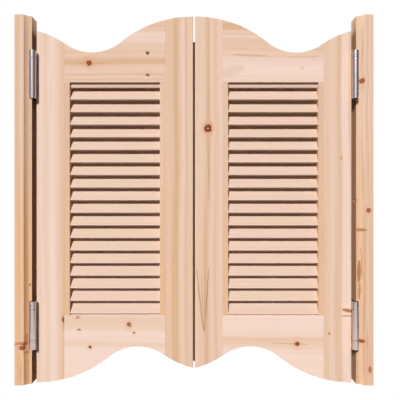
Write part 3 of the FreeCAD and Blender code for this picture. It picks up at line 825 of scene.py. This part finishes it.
class CAFEDOORS_OT_jambs(bpy.types.Operator):
    """Coved jamb strips on both sides of the doorway"""
    bl_idname = "cafe_doors.jambs"
    bl_label = "Jambs"

    def execute(self, context):
        # Painted shade on the inner face of each jamb, deeper on the left jamb, away from the key
        # light
        edges = {"left": "deep_edge_shade", "right": "edge_shade"}
        for side, sign in SIDES:
            node = side + "_jamb"
            low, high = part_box(node)
            inner, outer = (low.x, high.x) if sign > 0 else (high.x, low.x)
            bm = merged_copy(node)
            ease(bm, sizes().jamb_ease, sizes().ease_steps,
                 lambda edge, place=outer: lies_at(edge, 0, place))
            for vert in bm.verts:
                if abs(vert.co.x - inner) < NEAR and ARRIS_DEPTHS[0] < vert.co.y < ARRIS_DEPTHS[1]:
                    vert.co.y += ARRIS_BACK
            material = board_pine(node, low.y, HEARTS[node], edge=(inner, edges[side]),
                                  ring=0.0038, late=0.32, lean=0.002)
            piece(node + "_board", bm, material, "jambs", "jamb_pine", node)
        return {"FINISHED"}


# ---- Louvres ----

SLAT_SPACING = 0.78  # as a share of a slat's width
LIP_STEPS = 5
SLAT_EDGE_STEPS = 2


def with_slat_layers(bm):
    """Lets the faces of a bmesh be told apart by slat and by whether they are on a lip, which gets
    a painted highlight.
    """
    for name in ("board", "lip"):
        bm.faces.layers.float.new(name)
    return bm


def slat_bar(bm, centre, length, width, drop, number):
    """One slat: a flat bar with a rounded lip, tipped so that the lip comes forward and down."""
    size = sizes()
    board = bm.faces.layers.float["board"]
    lip_highlight = bm.faces.layers.float["lip"]
    before = set(bm.faces)
    bar = bmesh.ops.create_cube(bm, size=1.0, matrix=Matrix.Diagonal(
        (length, size.slat_thickness, width, 1)))["verts"]
    long_edges = [edge for edge in set(edge for vert in bar for edge in vert.link_edges)
                  if abs(edge.verts[0].co.x - edge.verts[1].co.x) > length / 2]
    lip = [edge for edge in long_edges if edge.verts[0].co.z < 0 and edge.verts[0].co.y < 0]
    others = [edge for edge in long_edges if edge not in lip]
    bevel(bm, others, size.slat_back_ease, SLAT_EDGE_STEPS)
    bevel(bm, lip, size.slat_lip_ease, LIP_STEPS)
    faces = [face for face in bm.faces if face not in before]
    verts = list(set(vert for face in faces for vert in face.verts))
    for face in faces:
        middle = face.calc_center_median()
        face[board] = number
        # Faces on the lip get a painted highlight in the slat pine
        face[lip_highlight] = float(middle.z < size.slat_lip_ease - width / 2 and middle.y < 0)
    bmesh.ops.translate(bm, verts=verts, vec=(0, 0, -drop / 2))
    bmesh.ops.rotate(bm, verts=verts, cent=(0, 0, 0),
                     matrix=Matrix.Rotation(-size.slat_angle, 3, "X"))
    bmesh.ops.translate(bm, verts=verts, vec=centre)


def slat_rise():
    """Half of the height that a slat takes up."""
    size = sizes()
    return (size.slat_width * math.cos(size.slat_angle)
            + size.slat_thickness * math.sin(size.slat_angle)) / 2


class CAFEDOORS_OT_louvres(bpy.types.Operator):
    """Slats and filler batten of both leaves"""
    bl_idname = "cafe_doors.louvres"
    bl_label = "Louvres"

    def execute(self, context):
        size = sizes()
        for side, _ in SIDES:
            body = leaf_body(side)
            low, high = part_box(side + "_louvre_slats")
            top = high.z - slat_rise()
            last = low.z + slat_rise()
            count = round((top - last) / (size.slat_width * SLAT_SPACING)) + 1
            pitch = (top - last) / (count - 1)
            length = high.x - low.x
            middle = (low.x + high.x) / 2
            wood = pine(side + "_slat_pine", low.y, SLAT_HEART, "slat", level=True, late=0.12,
                        numbered=True)
            bm = with_slat_layers(bmesh.new())
            for row in range(count):
                slat_bar(bm, (middle, 0, top - row * pitch), length, size.slat_width, 0, row)
            piece(side + "_slats", bm, wood, body, "louvre_pine", side + "_louvre_slats")

            low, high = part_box(side + "_bottom_slat")
            extra = (high.z - low.z - 2 * slat_rise()) / math.cos(size.slat_angle)
            bm = with_slat_layers(bmesh.new())
            slat_bar(bm, (middle, 0, high.z - slat_rise()), length, size.slat_width + extra,
                     extra, count)
            piece(side + "_closing_slat", bm, wood, body, "louvre_pine", side + "_bottom_slat")

            bm = ease(merged_copy(side + "_top_filler"), size.slat_back_ease, SLAT_EDGE_STEPS)
            piece(side + "_filler", with_slat_layers(bm), wood, body, "louvre_pine",
                  side + "_top_filler")
        return {"FINISHED"}


# ---- Hinges ----

RIM_NEAR = 3e-5  # how far from a barrel's radius the corners of its rim may lie
RIM_STEPS = 3


def barrel_axes(side):
    """Middle lines of the jamb barrel and the door barrel, as (x, y), and the barrels' radius."""
    axes = []
    for half in ("jamb", "door"):
        low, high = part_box(side + "_hinge_" + half + "_spindles")
        axes.append(((low.x + high.x) / 2, (low.y + high.y) / 2))
    low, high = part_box(side + "_hinge_centre_plates")
    return axes, (high.x - low.x) / 2


def hinge_piece(side, part, body, material):
    """Plates of one half of the hinges, with the rims of their rolled barrels rounded over."""
    node = side + "_hinge_" + part
    axes, radius = barrel_axes(side)

    def is_rim(edge):
        first, second = (vert.co for vert in edge.verts)
        return abs(first.z - second.z) < NEAR and any(
            all(abs(math.hypot(end.x - x, end.y - y) - radius) < RIM_NEAR
                for end in (first, second))
            for x, y in axes)

    bm = ease(merged_copy(node), sizes().rim_ease, RIM_STEPS, is_rim)
    piece(node + "_steel", bm, material, body, "hinge_steel", node)


def paint(node, material):
    """Gives a CAD node that keeps its own shape a finish."""
    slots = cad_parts[node].data.materials
    slots.clear()
    slots.append(material)


class CAFEDOORS_OT_hinges(bpy.types.Operator):
    """Rolled plates, springs, rods and screws of the double-action hinges"""
    bl_idname = "cafe_doors.hinges"
    bl_label = "Hinges"

    def execute(self, context):
        palette = colours()
        satin = steel("satin_steel", palette.steel, roughness=0.18, brushed=0.04)
        dull = steel("spring_steel", palette.dark_steel, roughness=0.42)
        bright = steel("screw_steel", palette.steel, roughness=0.3)
        # Painted shade: dark pins and plugs stand for the shade inside the tension holes
        dark = steel("pin_steel", palette.pin, roughness=0.55)
        for side, _ in SIDES:
            hinge_piece(side, "jamb_plates", "jambs", satin)
            hinge_piece(side, "centre_plates", side + "_hinge_link", satin)
            hinge_piece(side, "door_plates", leaf_body(side), satin)
            paint(side + "_hinge_springs", dull)
            for half in ("jamb", "door"):
                node = side + "_hinge_" + half
                paint(node + "_spindles", dull)
                paint(node + "_screws", bright)
                paint(node + "_tension_plugs", dark)
                paint(node + "_tension_pins", dark)
        return {"FINISHED"}


# ---- Stage ----

CAMERA_PLACE = (0, -1.075, -0.0177)
CAMERA_SETTINGS = {"lens": 37.7, "sensor_width": 36.0, "shift_x": 0.015, "shift_y": 0.0175,
                   "clip_start": 0.05, "clip_end": 60}
# Name, angle to the left of straight in front, angle up, and the setting of its strength
SUNS = (("key", 17, 33, "key"), ("back", 180, 49, "back"), ("left_side", 92, 2, "side"),
        ("right_side", 268, 2, "side"))
SUN_DISTANCE = 7.0
FLOOR_CORNERS = ((-2.5, -3.5, -1.06), (2.5, 1.15, -1.06))
FLOOR_BOUNCE = (0.22, 0.2, 0.18)  # colour of the floor as it lights the wood
FLOOR_MIRRORED = (1.0, 0.9, 0.8)  # and as the steel mirrors it
FLOOR_GLOW = (1.3, 1.08)  # how strongly it glows in mirrors, and to the camera
FLOOR_GLOW_SHARE = 0.9
# Painted shade: glowing brown card just behind the gap of the leaves
GAP_SHADE_CORNERS = ((-0.004, 0.02, -0.4366), (0.004, 0.02, 0.4134))
CARD_REACH = 0.2  # how far the card looks for the leaves that cover it
CARD_OPENNESS = (0.36, 0.28)  # opennesses between which it goes from clear to brown
# Brightness of the room that steel mirrors, from its left side at 0 to its right side at 1
ROOM = ((0.0, 0.3), (0.18, 0.4), (0.32, 1.0), (0.68, 1.0), (0.82, 0.08), (1.0, 0.18))
WHITE = (1.0, 1.0, 1.0)


def sun(name, azimuth, elevation, strength):
    """Broad light far away, so that it falls evenly on the doors from top to bottom."""
    lamp = bpy.data.lights.new(name, "SUN")
    lamp.angle = lights().softness
    lamp.energy = strength
    light = add_object(name, lamp)
    turn = math.radians(azimuth)
    rise = math.radians(elevation)
    light.location = Vector((-math.sin(turn) * math.cos(rise), -math.cos(turn) * math.cos(rise),
                             math.sin(rise))) * SUN_DISTANCE
    light.rotation_euler = (-light.location).to_track_quat("-Z", "Y").to_euler()


def sheet(name, corners, material):
    """Flat stage sheet, level or facing forward, between its lowest and highest corners."""
    low, high = corners
    bm = bmesh.new()
    bm.faces.new([bm.verts.new(place) for place in (
        low, (high[0], *low[1:]), high, (low[0], *high[1:]))])
    stage_piece = add_mesh(name, bm, material)


def floor_material():
    """Pale floor that glows to the camera and in mirrors, and is dim to the wood."""
    wiring = Wiring(bpy.data.materials.new("floor_paint"))
    path = wiring.node("ShaderNodeLightPath").outputs
    seen = path["Is Camera Ray"]
    coat = wiring.node("ShaderNodeBsdfDiffuse", {
        "Color": wiring.mix(seen, FLOOR_BOUNCE, colours().floor)})
    glow = wiring.node("ShaderNodeEmission", {
        "Color": wiring.mix(seen, FLOOR_MIRRORED, WHITE),
        "Strength": wiring.remap(seen, 0, 1, *FLOOR_GLOW)})
    share = wiring.times(wiring.most(seen, path["Is Glossy Ray"]), FLOOR_GLOW_SHARE)
    return wiring.finish(wiring.node("ShaderNodeMixShader", {
        0: share, 1: coat.outputs[0], 2: glow.outputs[0]}))


def gap_shade_material():
    """Glowing brown card of painted shade behind the gap of the leaves, that shows only to the
    camera, and only where closed leaves cover it.
    """
    wiring = Wiring(bpy.data.materials.new("card_paint"))
    seen = wiring.node("ShaderNodeLightPath").outputs["Is Camera Ray"]
    openness = wiring.node("ShaderNodeAmbientOcclusion", {"Distance": CARD_REACH}, samples=32)
    brown = wiring.node("ShaderNodeEmission", {"Color": (*colours().gap_shade, 1)})
    return wiring.finish(wiring.node("ShaderNodeMixShader", {
        0: wiring.remap(openness.outputs["AO"], *CARD_OPENNESS, 0, seen),
        1: wiring.node("ShaderNodeBsdfTransparent").outputs[0], 2: brown.outputs[0]}))


def studio():
    """World that is white to the camera, a room in mirrors, and dim to all else."""
    wiring = Wiring(bpy.data.worlds.new("studio"))
    path = wiring.node("ShaderNodeLightPath").outputs
    bearing = wiring.split(wiring.node("ShaderNodeTexCoord").outputs["Generated"])["X"]
    room = wiring.ramp(wiring.remap(bearing, -1, 1),
                       [(place, (amount, amount, amount)) for place, amount in ROOM])
    mirrored = wiring.times(path["Is Glossy Ray"], wiring.times(room, lights().gleam))
    amount = wiring.most(path["Is Camera Ray"], mirrored)
    return wiring.finish(wiring.node("ShaderNodeBackground", {
        "Color": (*WHITE, 1), "Strength": wiring.remap(amount, 0, 1, lights().sky, 1),
    }), "ShaderNodeOutputWorld")


class CAFEDOORS_OT_stage(bpy.types.Operator):
    """Camera, lights, floor and white surroundings"""
    bl_idname = "cafe_doors.stage"
    bl_label = "Stage"

    def execute(self, context):
        scene = context.scene
        scene.view_settings.view_transform = "Standard"
        data = bpy.data.cameras.new("camera")
        for name, value in CAMERA_SETTINGS.items():
            setattr(data, name, value)
        camera = add_object("camera", data)
        camera.location = CAMERA_PLACE
        camera.rotation_euler = (math.radians(90), 0, 0)
        scene.camera = camera
        for name, azimuth, elevation, setting in SUNS:
            sun(name, azimuth, elevation, getattr(lights(), setting))
        sheet("floor", FLOOR_CORNERS, floor_material())
        # Painted shade: a glowing brown card behind the gap of the closed leaves
        sheet("gap_card", GAP_SHADE_CORNERS, gap_shade_material())
        scene.world = studio()
        return {"FINISHED"}


# ---- Panel and registration ----

class CAFEDOORS_PT_panel(bpy.types.Panel):
    """Sizes, colours and the pieces of the doors"""
    bl_idname = "CAFEDOORS_PT_panel"
    bl_label = "Cafe Doors"
    bl_space_type = "VIEW_3D"
    bl_region_type = "UI"
    bl_category = "Cafe Doors"

    def draw(self, context):
        column = self.layout.column()
        for operator in OPERATORS:
            column.operator(operator.bl_idname)
        for group in (colours(), sizes(), lights()):
            box = self.layout.box()
            for name in group.__annotations__:
                box.prop(group, name)


OPERATORS = (CAFEDOORS_OT_boards, CAFEDOORS_OT_jambs, CAFEDOORS_OT_louvres, CAFEDOORS_OT_hinges,
             CAFEDOORS_OT_stage)
SETTINGS = {"cafe_door_colours": CafeDoorColours, "cafe_door_sizes": CafeDoorSizes,
            "cafe_door_lights": CafeDoorLights}
CLASSES = (*SETTINGS.values(), *OPERATORS, CAFEDOORS_PT_panel)


def register():
    for new in CLASSES:
        bpy.utils.register_class(new)
    for name, group in SETTINGS.items():
        setattr(bpy.types.Scene, name, PointerProperty(type=group))


def unregister():
    for name in SETTINGS:
        delattr(bpy.types.Scene, name)
    for old in reversed(CLASSES):
        bpy.utils.unregister_class(old)


def main():
    register()
    bpy.ops.cafe_doors.boards()
    bpy.ops.cafe_doors.jambs()
    bpy.ops.cafe_doors.louvres()
    bpy.ops.cafe_doors.hinges()
    bpy.ops.cafe_doors.stage()


if __name__ == "__main__":
    main()
